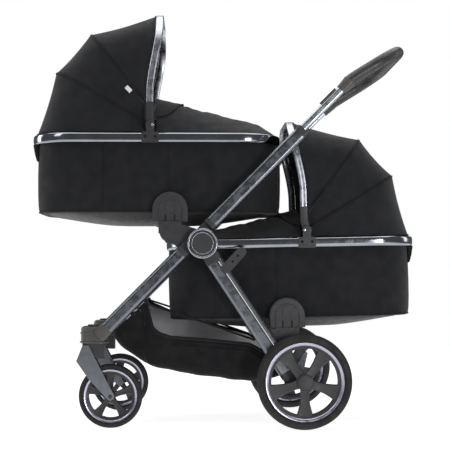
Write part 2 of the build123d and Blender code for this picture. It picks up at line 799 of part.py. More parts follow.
mouth = -bracket_drop - bracket_skirt
adapter_roots = {"upper": (hub, lobe_radius, 30), "lower": (spot(rear_angle, 314), 18, 24)}
with BuildPart() as seat_adapters:
    for name, place in places.items():
        tongue_top = mouth + tongue_height - 2
        foot_bottom = mouth - adapter_foot_height
        with BuildSketch(outward(tongue_y)):
            with BuildLine():
                Polyline(
                    *tongue_outline(place, brackets[name], tongue_top, mouth - 2, tongue_width), close=True
                )
            make_face()
        extrude(amount=tongue_thickness)
        foot = place.from_local_coords(Vector(brackets[name], 0, foot_bottom + 4))
        with BuildSketch(outward(tongue_y)):
            with BuildLine():
                Polyline(
                    *tongue_outline(place, brackets[name], mouth - clear, foot_bottom, adapter_foot_width),
                    close=True,
                )
            make_face()
        extrude(amount=tube_inner - tongue_y)
        root, root_radius, foot_radius = adapter_roots[name]
        with BuildSketch(outward(adapter_y)):
            with Locations(root):
                Circle(root_radius)
            with Locations((foot.X, foot.Z)):
                Circle(foot_radius)
            make_hull()
        extrude(amount=tube_inner - adapter_y)
    with BuildSketch(outward(adapter_y)):
        with Locations(hub):
            Circle(pin_radius + fit)
    extrude(amount=tube_inner - adapter_y, mode=Mode.SUBTRACT)
    mirror(about=Plane.XZ)
finish(seat_adapters, "seat_adapters")
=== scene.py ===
"""Looks of the tandem pram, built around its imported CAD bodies.

Metres, in the row frame: +X points to the rear of the pram, -Y is the side that faces the camera, +Z up.
"""
from math import cos, hypot, pi, radians, sin, sqrt

import bmesh
import bpy
from mathutils import Matrix, Vector, noise


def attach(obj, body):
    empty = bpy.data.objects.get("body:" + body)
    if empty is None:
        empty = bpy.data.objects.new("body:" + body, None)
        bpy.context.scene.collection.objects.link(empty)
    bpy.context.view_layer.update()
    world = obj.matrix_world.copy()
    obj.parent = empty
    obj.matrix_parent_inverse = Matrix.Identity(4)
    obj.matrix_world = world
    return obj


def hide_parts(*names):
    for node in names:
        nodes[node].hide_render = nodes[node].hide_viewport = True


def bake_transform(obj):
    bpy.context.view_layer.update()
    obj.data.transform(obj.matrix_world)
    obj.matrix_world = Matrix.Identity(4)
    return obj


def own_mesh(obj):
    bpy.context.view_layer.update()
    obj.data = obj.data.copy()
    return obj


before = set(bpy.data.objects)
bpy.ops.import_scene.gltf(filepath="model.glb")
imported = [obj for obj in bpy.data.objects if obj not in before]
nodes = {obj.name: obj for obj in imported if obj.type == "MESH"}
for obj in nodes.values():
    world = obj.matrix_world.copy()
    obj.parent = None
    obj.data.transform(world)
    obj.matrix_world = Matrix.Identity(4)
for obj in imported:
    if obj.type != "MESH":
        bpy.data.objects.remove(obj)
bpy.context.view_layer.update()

scene = bpy.context.scene

# ---- sizes shared with the CAD ----
HUB = (-0.063, 0.526)
LEG_Y = 0.234
TUBE_FACE = LEG_Y + 0.012
HANDLE_ANGLE, REAR_ANGLE = radians(45.2), radians(303.5)
LEG_OFFSET = 0.024
SLIDER_OFFSET = LEG_OFFSET + 0.005
COT_LENGTH, COT_WIDTH, COT_CORNER = 0.736, 0.416, 0.125
HALF_LENGTH, HALF_WIDTH = COT_LENGTH / 2, COT_WIDTH / 2
TUB_INSET, TUB_DEPTH = 0.017, 0.218
PIVOT_W = 0.036
HINGE_Y = HALF_WIDTH + 0.0003
TILT = radians(1.2)
CASTOR_X = -0.372
SIDES = ((-1, "left"), (1, "right"))
COTS = {
    # pivot and bracket along the cot, reach of the front bow, its lean (at the foot, added at the top, from which
    # height), crest of the apron at its head and foot ends, how much longer the shell is at the foot end, length of
    # the apron's flap, and places of the shell's upright seams
    "upper": dict(
        place=Matrix.Translation((-0.5665, 0, 0.834)),
        pivot=0.352, bracket=0.41, reach=0.345, lean=(-0.002, 0.027, 0.09), crest=(0.122, 0.03), stretch=0.016,
        flap=0.078, seams=(0.405, 0.215),
    ),
    "lower": dict(
        place=Matrix.Translation((0.5665, 0, 0.537))
        @ Matrix(((-cos(TILT), 0, -sin(TILT), 0), (0, -1, 0, 0), (-sin(TILT), 0, cos(TILT), 0), (0, 0, 0, 1))),
        pivot=0.327, bracket=0.39, reach=0.33, lean=(0.0065, 0.03, 0.11), crest=(0.086, 0.004), stretch=0.01,
        flap=0.06, seams=(0.416, 0.6),
    ),
}


# ---- materials ----
class Shader:
    """A Principled material, with helpers that add its procedural nodes."""

    def __init__(self, name, color, roughness=0.5, metallic=0.0, specular=0.5, **constants):
        self.material = bpy.data.materials.new(name)
        self.material.use_nodes = True
        self.tree = self.material.node_tree
        self.bsdf = self.tree.nodes["Principled BSDF"]
        self.color = (*color, 1.0)
        self.put("Base Color", self.color)
        self.put("Roughness", roughness)
        self.put("Metallic", metallic)
        self.put("Specular IOR Level", specular)
        for socket, value in constants.items():
            self.put(socket.replace("_", " "), value)
        coordinates = self.node("ShaderNodeTexCoord")
        self.place = coordinates.outputs["Object"]
        self.height = None

    def put(self, socket, value):
        self.bsdf.inputs[socket].default_value = value

    def node(self, kind, **settings):
        made = self.tree.nodes.new(kind)
        for key, value in settings.items():
            if key in made.inputs:
                made.inputs[key].default_value = value
            else:
                setattr(made, key, value)
        return made

    def link(self, a, b):
        self.tree.links.new(a, b)

    def noise(self, scale, detail=3.0):
        made = self.node("ShaderNodeTexNoise", Scale=scale, Detail=detail)
        self.link(self.place, made.inputs["Vector"])
        return made.outputs["Fac"]

    def cells(self, scale):
        made = self.node("ShaderNodeTexVoronoi", Scale=scale)
        self.link(self.place, made.inputs["Vector"])
        return made.outputs["Distance"]

    def math(self, operation, a, b=None):
        made = self.node("ShaderNodeMath", operation=operation)
        for socket, value in zip(made.inputs, (a, b)):
            if isinstance(value, (int, float)):
                socket.default_value = value
            elif value is not None:
                self.link(value, socket)
        return made.outputs[0]

    def threads(self, pitch):
        """A plain weave: two sets of threads that pass over and under each other."""
        split = self.node("ShaderNodeSeparateXYZ")
        self.link(self.place, split.inputs[0])
        x, y, z = split.outputs
        k = 2 * pi / pitch
        warp = self.math("SINE", self.math("MULTIPLY", self.math("ADD", x, y), k))
        weft = self.math("SINE", self.math("MULTIPLY", self.math("ADD", z, self.math("MULTIPLY", x, 0.35)), k))
        return self.math("MULTIPLY", warp, weft)

    def ramp(self, value, low, high, a=0.35, b=0.65):
        ends = {"From Min": a, "From Max": b, "To Min": low, "To Max": high}
        made = self.node("ShaderNodeMapRange", **ends)
        self.link(value, made.inputs["Value"])
        return made.outputs[0]

    def vary_color(self, value, other, a=0.35, b=0.65):
        """Mixes the base colour with another one by a pattern."""
        mix = self.node("ShaderNodeMix", data_type="RGBA")
        self.link(self.ramp(value, 0.0, 1.0, a, b), mix.inputs[0])
        before = self.bsdf.inputs["Base Color"]
        if before.is_linked:
            self.link(before.links[0].from_socket, mix.inputs[6])
        else:
            mix.inputs[6].default_value = self.color
        mix.inputs[7].default_value = (*other, 1.0)
        self.link(mix.outputs[2], before)
        return self

    def vary_roughness(self, value, low, high):
        self.link(self.ramp(value, low, high), self.bsdf.inputs["Roughness"])
        return self

    def bump(self, value, strength, distance):
        """Adds one more layer of relief, in metres."""
        made = self.node("ShaderNodeBump", Strength=strength, Distance=distance)
        self.link(value, made.inputs["Height"])
        if self.height is not None:
            self.link(self.height, made.inputs["Normal"])
        self.height = made.outputs[0]
        self.link(self.height, self.bsdf.inputs["Normal"])
        return self


def fabric(name, color, lighter, pitch=0.0009, sheen=0.25):
    """Woven cloth: threads of that pitch, soft stains and slow waves."""
    roughness = 0.85
    made = Shader(name, color, roughness, specular=0.25, Sheen_Weight=sheen, Sheen_Roughness=0.45)
    made.vary_color(made.noise(9.0, 4.0), lighter)
    made.vary_color(made.threads(pitch), tuple(c * 1.35 for c in color), 0.2, 1.0)
    made.vary_roughness(made.noise(30.0), roughness - 0.08, roughness + 0.08)
    made.bump(made.noise(14.0, 2.0), 0.25, 0.004).bump(made.threads(pitch), 0.35, 0.0002)
    return made.material


def metal(name, color, roughness, brushed=0.00006):
    """Metal with a fine grain and slight smears."""
    made = Shader(name, color, roughness, metallic=1.0)
    made.vary_color(made.noise(22.0, 2.0), tuple(c * 1.15 for c in color))
    made.vary_roughness(made.noise(60.0, 4.0), roughness * 0.8, roughness * 1.35)
    made.bump(made.noise(900.0, 2.0), 0.15, brushed)
    return made.material


def plastic(name, color, roughness):
    """Moulded plastic with a fine grain."""
    made = Shader(name, color, roughness)
    made.vary_color(made.noise(35.0, 3.0), tuple(c * 1.3 for c in color))
    made.vary_roughness(made.noise(80.0), roughness * 0.85, roughness * 1.15)
    made.bump(made.noise(1400.0, 2.0), 0.4, 0.0001)
    return made.material


GUNMETAL = metal("gunmetal", (0.16, 0.17, 0.19), 0.26)
POLISHED = metal("polished_gunmetal", (0.27, 0.285, 0.32), 0.13)
SILVER = metal("brushed_silver", (0.36, 0.38, 0.41), 0.26)
# the bow's metal is the rail's metal made lighter: a painted highlight for the bright reflections along the bow
BOW_PAINTED_HIGHLIGHT_METAL = metal("bow_metal_painted_highlight", (0.43, 0.445, 0.48), 0.3)
CHROME = metal("chrome", (0.78, 0.79, 0.82), 0.07, 0.00002)
RIM_METAL = metal("rim_metal", (0.42, 0.42, 0.51), 0.3)
STEEL = metal("stay_steel", (0.1, 0.1, 0.105), 0.4)
DARK = plastic("dark_plastic", (0.019, 0.019, 0.022), 0.5)
GREY = plastic("grey_plastic", (0.055, 0.053, 0.05), 0.42)
WHEEL = plastic("wheel_plastic", (0.017, 0.017, 0.019), 0.5)
BASE = plastic("base_plastic", (0.026, 0.026, 0.027), 0.6)
SHELL = fabric("shell_fabric", (0.0072, 0.0075, 0.009), (0.011, 0.0114, 0.0132), sheen=0.09)
HOOD = fabric("hood_fabric", (0.0082, 0.0086, 0.0102), (0.0126, 0.0131, 0.015), sheen=0.11)
LINING = fabric("lining_fabric", (0.03, 0.03, 0.033), (0.045, 0.045, 0.048), sheen=0.1)
HEATHER = fabric("heather_lining", (0.6, 0.6, 0.62), (0.84, 0.84, 0.86), pitch=0.0022, sheen=0.1)
BAG = fabric("basket_fabric", (0.0045, 0.0045, 0.0054), (0.0072, 0.0072, 0.0085), sheen=0.03)
PIPING = fabric("piping", (0.007, 0.007, 0.008), (0.011, 0.011, 0.012), sheen=0.05)
COVER = fabric("mattress_cloth", (0.4, 0.4, 0.41), (0.48, 0.48, 0.49), pitch=0.0014, sheen=0.1)
THREAD = fabric("thread", (0.05, 0.05, 0.053), (0.07, 0.07, 0.07), pitch=0.0006)
TAG = fabric("white_tag", (0.62, 0.62, 0.6), (0.75, 0.75, 0.73), pitch=0.001)

rubber = Shader("tyre_rubber", (0.0105, 0.01, 0.0098), 0.62, specular=0.3)
rubber.vary_color(rubber.noise(18.0, 4.0), (0.018, 0.017, 0.016))
rubber.vary_roughness(rubber.noise(45.0), 0.5, 0.75)
RUBBER = rubber.bump(rubber.noise(1100.0), 0.5, 0.00015).material

hide = Shader("grip_leather", (0.02, 0.02, 0.021), 0.46, specular=0.5, Coat_Weight=0.05)
hide.vary_color(hide.noise(26.0, 4.0), (0.036, 0.036, 0.038))
hide.vary_roughness(hide.noise(70.0), 0.38, 0.55)
LEATHER = hide.bump(hide.cells(620.0), 0.6, 0.0003).material

paper = Shader(
    "studio_floor", (0.42, 0.42, 0.42), 0.9, specular=0.0, Emission_Color=(1, 1, 1, 1), Emission_Strength=0.875
)
FLOOR = paper.vary_color(paper.noise(2.0), (0.44, 0.44, 0.44)).material

for material, names in {
    GUNMETAL: "rear_legs front_legs front_crossbar suspension_arm_left suspension_arm_right brake_pedal rear_axle "
    "handle_tubes",
    SILVER: "hub_rings handle_bar",
    STEEL: "upper_mid_stay upper_rear_stay lower_mid_stay lower_rear_stay",
    DARK: "rear_knuckles handle_knuckles front_knuckles hub_discs handle_collars tandem_brackets seat_adapters "
    "fold_trigger_left fold_trigger_right castor_body_left castor_body_right axle_housings upper_fittings "
    "lower_fittings upper_button_left upper_button_right lower_button_left lower_button_right",
    GREY: "castor_housings grip_connectors",
    LEATHER: "handle_grip",
}.items():
    for name in names.split():
        nodes[name].data.materials.clear()
        nodes[name].data.materials.append(material)


# ---- mesh helpers ----
def add(name, data):
    """A new object in the scene."""
    made = bpy.data.objects.new(name, data)
    scene.collection.objects.link(made)
    return made


def piece(name, shape, material, body, slot, stands_for=(), place=None, smooth=60.0, bake=(), inner=None):
    """A mesh piece that rides on a body. bake is a list of modifiers, each a kind and its settings."""
    mesh = bpy.data.meshes.new(name)
    mesh.from_pydata([tuple(v) for v in shape[0]], [], shape[1])
    bm = bmesh.new()
    bm.from_mesh(mesh)
    bmesh.ops.remove_doubles(bm, verts=bm.verts, dist=1e-6)
    bmesh.ops.recalc_face_normals(bm, faces=bm.faces)
    bm.to_mesh(mesh)
    bm.free()
    if place is not None:
        mesh.transform(place)
    mesh.materials.append(material)
    if inner is not None:
        mesh.materials.append(inner)
    made = add(name, mesh)
    for kind, settings in bake:
        modifier = made.modifiers.new(kind.lower(), kind)
        for key, value in settings.items():
            setattr(modifier, key, value)
    if bake:
        settle(made)
    mesh = made.data
    mesh.polygons.foreach_set("use_smooth", [True] * len(mesh.polygons))
    if smooth < 180:
        mesh.set_sharp_from_angle(angle=radians(smooth))
    if body:
        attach(made, body)
    if stands_for:
        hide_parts(*stands_for)
    return made


def settle(made):
    """Applies the object's modifiers to its mesh."""
    seen = bpy.context.evaluated_depsgraph_get()
    seen.update()
    fresh = bpy.data.meshes.new_from_object(made.evaluated_get(seen))
    made.modifiers.clear()
    made.data = fresh


def skin(rows, closed=False):
    """Faces of a grid of points given row by row."""
    width = len(rows[0])
    verts = [point for row in rows for point in row]
    faces = []
    for i in range(len(rows) - 1):
        for j in range(width if closed else width - 1):
            k = (j + 1) % width
            faces.append((i * width + j, i * width + k, (i + 1) * width + k, (i + 1) * width + j))
    return verts, faces


def capped(rows):
    """A closed skin round rings of points, with a face at each end."""
    verts, faces = skin(rows, closed=True)
    width = len(rows[0])
    faces.append(tuple(range(width)))
    faces.append(tuple(range(len(verts) - width, len(verts))))
    return verts, faces


def joined(parts):
    """Several shapes, each (verts, faces), as one."""
    verts, faces = [], []
    for more, loops in parts:
        start = len(verts)
        verts += [tuple(v) for v in more]
        faces += [tuple(i + start for i in loop) for loop in loops]
    return verts, faces


def turns(sides):
    """Cosine and sine of even steps round a circle."""
    return [(cos(2 * pi * k / sides), sin(2 * pi * k / sides)) for k in range(sides)]


def tube(points, radius, sides, closed=False):
    """A tube along points."""
    points = [Vector(p) for p in points]
    count = len(points)
    rows, before = [], None
    for i, point in enumerate(points):
        ahead = points[(i + 1) % count] if closed or i + 1 < count else point
        behind = points[i - 1] if closed or i else point
        along = (ahead - behind).normalized()
        if before is None:
            side = along.orthogonal().normalized()
        else:
            side = (before - along * before.dot(along)).normalized()
        before = side
        over = side.cross(along)
        rows.append([point + side * radius * c + over * radius * s for c, s in turns(sides)])
    if closed:
        return skin(rows + rows[:1], closed=True)
    return capped(rows)


def lathe(profile, centre, axis, steps):
    """A closed ring turned round an axis along Y. profile is a loop of (radius, distance along the axis)."""
    rows = []
    for i in range(steps + 1):
        a = 2 * pi * i / steps
        rows.append([(centre[0] + r * cos(a), axis + d, centre[1] + r * sin(a)) for r, d in profile])
    return skin(rows, closed=True)


def rounded(half_u, half_v, corner, long=16, turn=10):
    """Points of a rounded rectangle about the origin, always the same number."""
    signs = ((1, -1), (1, 1), (-1, 1), (-1, -1))
    points = []
    for quarter, (su, sv) in enumerate(signs):
        # this corner ends at angle a, and the next one starts at it
        a = quarter * pi / 2
        for k in range(turn + 1):
            t = a - pi / 2 + pi / 2 * k / turn
            points.append((su * (half_u - corner) + corner * cos(t), sv * (half_v - corner) + corner * sin(t)))
        end_u, end_v = points[-1]
        next_su, next_sv = signs[(quarter + 1) % 4]
        next_u = next_su * (half_u - corner) + corner * cos(a)
        next_v = next_sv * (half_v - corner) + corner * sin(a)
        for k in range(1, long):
            points.append((end_u + (next_u - end_u) * (k / long), end_v + (next_v - end_v) * (k / long)))
    return points


def cot_ring(inset, w):
    """A ring round the cot, that far inside its rail's outside and at height w."""
    corner = max(COT_CORNER - inset, 0.01)
    half_u, half_v = HALF_LENGTH - inset, HALF_WIDTH - inset
    return [(HALF_LENGTH + u, v, w) for u, v in rounded(half_u, half_v, corner)]


def layers(thickness, offset, **more):
    """Modifiers that give a sheet its thickness and smooth it."""
    return [("SOLIDIFY", dict(thickness=thickness, offset=offset, **more)), ("SUBSURF", dict(levels=1))]


def arc(points, corners, step):
    """Points along a polyline with its inner corners rounded to the given radii."""
    points = [Vector(p) for p in points]
    path = [points[0]]
    for before, at, after, radius in zip(points, points[1:], points[2:], corners):
        a, b = (before - at).normalized(), (after - at).normalized()
        half = a.angle(b) / 2
        reach = radius * cos(half) / sin(half)
        middle = at + (a + b).normalized() * radius / sin(half)
        p, q = at + a * reach - middle, at + b * reach - middle
        sweep = p.angle(q)
        count = max(4, int(sweep * radius / step))
        for k in range(count + 1):
            f = k / count
            path.append(middle + (p * sin((1 - f) * sweep) + q * sin(f * sweep)) / sin(sweep))
    path.append(points[-1])
    even = [path[0]]
    for p, q in zip(path, path[1:]):
        n = max(1, int((q - p).length / step))
        even += [p + (q - p) * (k / n) for k in range(1, n + 1)]
    return even


def leg_point(angle, distance, offset):
    """A point of the side view along a leg, as in the CAD."""
    return (
        HUB[0] + distance * cos(angle) - offset * sin(angle),
        HUB[1] + distance * sin(angle) + offset * cos(angle),
    )


def pebble(centre, side, size, depth, sides=20):
    """A low round stud on a face that looks to that side."""
    x, y, z = centre
    rows = []
    for r, h in ((1.0, 0.0), (1.0, 0.55), (0.9, 0.85), (0.72, 1.0), (0.3, 1.0)):
        rows.append([(x + c * size * r, y + side * depth * h, z - side * s * size * r) for c, s in turns(sides)])
    return capped(rows)


# ---- camera, light and floor ----
def make_camera():
    """A long lens, nearly square on to the pram's side."""
    camera = add("camera", bpy.data.cameras.new("camera"))
    camera.data.lens = 92.16
    camera.data.sensor_width = 36.0
    camera.location = (-0.0845, -3.531, 0.4444)
    camera.rotation_euler = Vector((0.02607, 1, 0.04085)).to_track_quat("-Z", "Y").to_euler()
    scene.camera = camera
    scene.view_settings.view_transform = "Standard"


def area_light(name, place, target, size, power, width=None):
    """A rectangular lamp that looks at target; it is square without a width."""
    made = add(name, bpy.data.lights.new(name, "AREA"))
    made.data.shape = "RECTANGLE"
    made.data.size = size
    made.data.size_y = width or size
    made.data.energy = power
    made.location = place
    made.rotation_euler = (Vector(target) - Vector(place)).to_track_quat("-Z", "Y").to_euler()


def make_lights():
    """Soft light from above, a key from the front left, two rims from behind and a low fill."""
    area_light("top", (0.0, 0.3, 3.4), (0, 0.3, 0), 4.2, 118)
    area_light("key", (-2.4, -2.0, 2.3), (0, 0, 0.6), 0.9, 16, 1.8)
    area_light("rim_left", (-3.0, 0.9, 1.2), (0, 0, 0.6), 0.8, 22, 2.0)
    area_light("rim_right", (3.2, 0.6, 1.5), (0, 0, 0.6), 0.8, 14, 2.0)
    area_light("front", (1.5, -3.2, 0.5), (0, 0, 0.5), 0.6, 34, 0.9)


def make_world():
    """A dim cool sky that lights the pram, and white where the camera sees it."""
    world = bpy.data.worlds.new("studio")
    world.use_nodes = True
    sky = world.node_tree
    light = sky.nodes["Background"]
    light.inputs[0].default_value = (0.96, 0.98, 1, 1)
    light.inputs[1].default_value = 0.14
    backdrop = sky.nodes.new("ShaderNodeBackground")
    backdrop.inputs[0].default_value = (1, 1, 1, 1)
    path_kind = sky.nodes.new("ShaderNodeLightPath")
    either = sky.nodes.new("ShaderNodeMixShader")
    sky.links.new(path_kind.outputs["Is Camera Ray"], either.inputs[0])
    sky.links.new(light.outputs[0], either.inputs[1])
    sky.links.new(backdrop.outputs[0], either.inputs[2])
    sky.links.new(either.outputs[0], sky.nodes["World Output"].inputs[0])
    scene.world = world


def make_floor():
    """The plain pale floor."""
    grid = (-3.2, -1.1, 1.1, 3.2)
    verts, faces = skin([[(x, y, 0.0) for x in grid] for y in grid])
    mesh = bpy.data.meshes.new("floor")
    mesh.from_pydata(verts, [], faces)
    mesh.materials.append(FLOOR)
    mesh.polygons.foreach_set("use_smooth", [True] * len(faces))
    add("floor", mesh)


make_camera()
make_lights()
make_world()
make_floor()


# ---- carrycots ----
def swell(made):
    """Blows the mattress up a little with Cloth."""
    steps = 20
    cloth = made.modifiers.new("cloth", "CLOTH")
    cloth.settings.use_pressure = True
    cloth.settings.uniform_pressure_force = 4.0
    cloth.settings.effector_weights.gravity = 0.0
    cloth.point_cache.frame_start = 1
    cloth.point_cache.frame_end = steps
    for step in range(1, steps + 1):
        scene.frame_set(step)
    settle(made)
    scene.frame_set(1)


def quilt_mattress():
    """One mattress in the cot's own place, swollen by Cloth and then quilted."""
    inset = TUB_INSET + 0.0105
    low = 0.0085 - TUB_DEPTH
    high = low + 0.034
    shape = ((0.012, low), (0.0, low + 0.006), (0.0, low + 0.017), (0.0, high - 0.006), (0.012, high))
    verts, faces = capped([cot_ring(inset + extra, w) for extra, w in shape])
    mesh = bpy.data.meshes.new("mattress")
    mesh.from_pydata([tuple(v) for v in verts], [], faces)
    made = add("mattress_work", mesh)
    remesh = made.modifiers.new("remesh", "REMESH")
    remesh.mode = "VOXEL"
    remesh.voxel_size = 0.006
    settle(made)
    rest = [v.co.copy() for v in made.data.vertices]
    swell(made)
    most, pitch, dent = 0.006, 0.075, 0.0022
    for vertex, was in zip(made.data.vertices, rest):
        move = vertex.co - was
        if move.length > most:
            move = move * (most / move.length)
        quilt = sin(vertex.co.x * 2 * pi / pitch) * sin(vertex.co.y * 2 * pi / pitch)
        vertex.co = was + move
        if vertex.co.z > low + 0.02:
            vertex.co.z -= dent * (1 - abs(quilt)) ** 3
        vertex.co.z = max(vertex.co.z, low)
    mesh = made.data
    bpy.data.objects.remove(made)
    return [v.co.copy() for v in mesh.vertices], [tuple(p.vertices) for p in mesh.polygons]


MATTRESS = quilt_mattress()


def wrinkle(u, v, seed, scale=14.0):
    """Smooth noise from -1 to 1, longer along v."""
    return noise.noise(Vector((u * scale, v * scale * 0.45, seed)))


def arch(half, reach, corner=0.125, foot=0.015, leg=12, turn=14, top=18):
    """Points (across, away from the pivot) of a hood bow's line, always the same number."""
    points = [(-half, foot + (reach - corner - foot) * k / leg) for k in range(leg)]
    points += [
        (-half + corner * (1 - cos(pi / 2 * k / turn)), reach - corner + corner * sin(pi / 2 * k / turn))
        for k in range(turn)
    ]
    points += [(-half + corner + (2 * half - 2 * corner) * k / top, reach) for k in range(top)]
    points += [
        (half - corner + corner * sin(pi / 2 * k / turn), reach - corner * (1 - cos(pi / 2 * k / turn)))
        for k in range(turn)
    ]
    points += [(half, reach - corner - (reach - corner - foot) * k / leg) for k in range(leg + 1)]
    return points


def half_width(u, inset):
    """Half the width of the cot's outline at u, that far inside the rail's outside."""
    corner = COT_CORNER - inset
    middle = COT_LENGTH - COT_CORNER
    side = HALF_WIDTH - inset
    if u <= middle:
        return side
    gone = min(u - middle, corner)
    return side - corner + sqrt(max(corner**2 - gone**2, 0.0))


def cot_piece(cot, name, shape, material, slot, old=None, body="cot", **more):
    """A piece of a carrycot on one of its bodies. old is the CAD piece that it stands for."""
    stands_for = [f"{cot}_{old}"] if old else ()
    rides = f"{cot}_{body}" if body else None
    return piece(f"{cot}_{name}", shape, material, rides, slot, stands_for, COTS[cot]["place"], **more)


# the shell's section from the middle of its floor, over the rim, down the side and back under the floor: how far
# inside the rail's outside, and the height
SHELL_PROFILE = [
    (0.06, -0.2095), (0.026, -0.2095), (0.0245, -0.204), (0.024, -0.12), (0.0236, 0.004),
    (0.0225, 0.0115), (0.02, 0.013), (0.0178, 0.0118), (0.0172, 0.006), (0.0172, -0.01),
    (0.016, -0.022), (0.0148, -0.06), (0.014, -0.11), (0.0145, -0.16), (0.016, -0.195),
    (0.0178, -0.208), (0.0195, -0.2145), (0.0235, -0.2172), (0.032, -0.2179), (0.06, -0.2179),
]
SHELL_SIDE = SHELL_PROFILE[8:17]
# the belly's rings: how far inside the cot's ends and its sides, and the height
BELLY_PROFILE = [
    (0.045, 0.03, -0.2172), (0.06, 0.034, -0.2215), (0.09, 0.045, -0.2265), (0.13, 0.06, -0.2335),
    (0.175, 0.085, -0.2405), (0.215, 0.11, -0.2452), (0.25, 0.15, -0.2475),
]
RAIL_PROFILE = [
    (0.006, -0.0144), (0.0032, -0.0132), (0.0014, -0.0108), (0.0005, -0.0078), (0.0, -0.002), (0.0001, 0.0042),
    (0.0006, 0.0098), (0.0024, 0.013), (0.006, 0.0143), (0.012, 0.0144), (0.0158, 0.0118), (0.0167, 0.007),
    (0.0167, -0.007), (0.0158, -0.0118), (0.012, -0.0144),
]
LINING_FROM = 0.0215


def longer(ring, size):
    """The ring with the shell's extra length at the foot end."""
    return [(u + size["stretch"] * max(0.0, u / HALF_LENGTH - 1), v, w) for u, v, w in ring]


def line_inside(tub, place):
    """Gives the faces inside the shell the lining."""
    across = half_width(HALF_LENGTH, LINING_FROM)
    for polygon in tub.data.polygons:
        centre = place.inverted() @ polygon.center
        between_ends = abs(centre.x - HALF_LENGTH) < HALF_LENGTH - LINING_FROM
        outward = polygon.normal.dot(polygon.center - place @ Vector((HALF_LENGTH, 0, centre.z)))
        if centre.z > -0.211 and outward < 0 and abs(centre.y) < across and between_ends:
            polygon.material_index = 1


def make_shell(cot, size):
    """The shell's cloth, pulled over the tub, with a lining inside."""
    rings = []
    for inset, w in SHELL_PROFILE:
        ring = longer(cot_ring(inset, w), size)
        if inset < 0.02 and w < 0:
            ring = [(u, v * (1 + 0.0012 * wrinkle(u + v, w, 3.1, 9.0)), height) for u, v, height in ring]
        rings.append(ring)
    tub = cot_piece(cot, "tub_cloth", capped(rings), SHELL, "shell_fabric", "tub", smooth=50, inner=LINING)
    line_inside(tub, size["place"])


def make_shell_seams(cot, size):
    """Piping round the foot of the shell, and upright seams on its sides."""
    strips = [tube(longer(cot_ring(0.0185, -0.2135), size), 0.0021, 8, closed=True)]
    for u in size["seams"]:
        for side in (-1, 1):
            line = [(u, side * (HALF_WIDTH - inset + 0.0002), w) for inset, w in SHELL_SIDE]
            strips.append(tube(line, 0.001, 6))
            for shift in (-0.004, 0.004):
                strips.append(tube([(u + shift, v - side * 0.0003, w) for u, v, w in line], 0.0005, 6))
    cot_piece(cot, "tub_seams", joined(strips), PIPING, "shell_fabric")


def make_belly(cot):
    """The base, a shallow moulded belly."""
    rings = []
    for ends, sides, w in BELLY_PROFILE:
        half_u, half_v = HALF_LENGTH - ends, HALF_WIDTH - sides
        corner = min(0.1, half_v * 0.7)
        rings.append([(HALF_LENGTH + u, v, w) for u, v in rounded(half_u, half_v, corner)])
    cot_piece(cot, "belly", capped(rings), BASE, "dark_plastic", "base")


def make_rail(cot):
    """The rail, a crowned tube round the cot."""
    rings = [cot_ring(inset, w) for inset, w in RAIL_PROFILE]
    shape = skin(rings + rings[:1], closed=True)
    return cot_piece(cot, "rail_tube", shape, POLISHED, "rail_metal", "rail", smooth=180)


def make_pad(cot):
    """The quilted mattress."""
    pad = cot_piece(cot, "mattress_pad", MATTRESS, COVER, "mattress_cloth", "mattress", smooth=180)


# ---- apron ----
APRON_SEAT = 0.0148
FLAP_HALF, FLAP_WIDTH = 0.82, 0.31


def apron_ends(size):
    """Where the apron starts and ends along the cot."""
    return size["pivot"] + 0.016, COT_LENGTH - 0.0085


def apron_point(size, u, f, lift=0.0):
    """A point of the apron at u, with f from -1 to 1 across."""
    start, end = apron_ends(size)
    run = (u - start) / (end - start)
    crest = size["crest"][0] * (1 - run) + size["crest"][1] * run
    crest *= min(1.0, sqrt(max(0.0, (end - u) / 0.055)))
    bow = 1 - abs(f) ** 2.3
    folds = 0.003 * wrinkle(u * 1.7, f * 0.12, 7.7 + size["pivot"], 16.0) * bow
    folds += 0.0016 * sin(u * 210 + 3 * f) * bow * min(1.0, run * 3) * (1 - run)
    hang = 0.0035 * wrinkle(u, f, 1.3, 22.0) * (1 - bow)
    v = f * half_width(u, 0.013) * (1 - 0.004 * abs(wrinkle(u, f, 5.0)))
    return u, v, APRON_SEAT + crest * bow + folds + lift + abs(hang)


def flap_rows(size):
    """Rows of the flap from the apron's head edge to its own free edge, which curls up a little."""
    start, _ = apron_ends(size)
    head = start - 0.004
    rows = []
    for i in range(13):
        row = []
        for j in range(33):
            f = -FLAP_HALF + 2 * FLAP_HALF * j / 32
            far = head + (size["flap"] + 0.004) * (1 - (f / FLAP_HALF) ** 2) ** 0.45
            u = head + (far - head) * i / 12
            _, v, w = apron_point(size, max(u, start), f, 0.003)
            row.append((u, v, w + 0.0035 * (i / 12) ** 3 * (1 - abs(f))))
        rows.append(row)
    return rows


def make_apron(cot, size):
    """The cloth over the foot half of the cot, its turned-back flap and the flap's hem."""
    start, end = apron_ends(size)
    count_u, count_v = 56, 48
    rows = [
        [apron_point(size, start + (end - start) * i / count_u, -1 + 2 * j / count_v) for j in range(count_v + 1)]
        for i in range(count_u + 1)
    ]
    apron = cot_piece(cot, "apron_cloth", skin(rows), HOOD, "hood_fabric", "apron", smooth=180,
                      bake=layers(0.0022, -1.0))
    rows = flap_rows(size)
    flap = cot_piece(cot, "apron_flap", skin(rows), HOOD, "hood_fabric", smooth=180, bake=layers(0.002, 0.0))
    line = [(u, v, w + 0.0006) for u, v, w in rows[-1]]
    hem = cot_piece(cot, "flap_hem", tube(line, 0.0016, 8), PIPING, "hood_fabric")


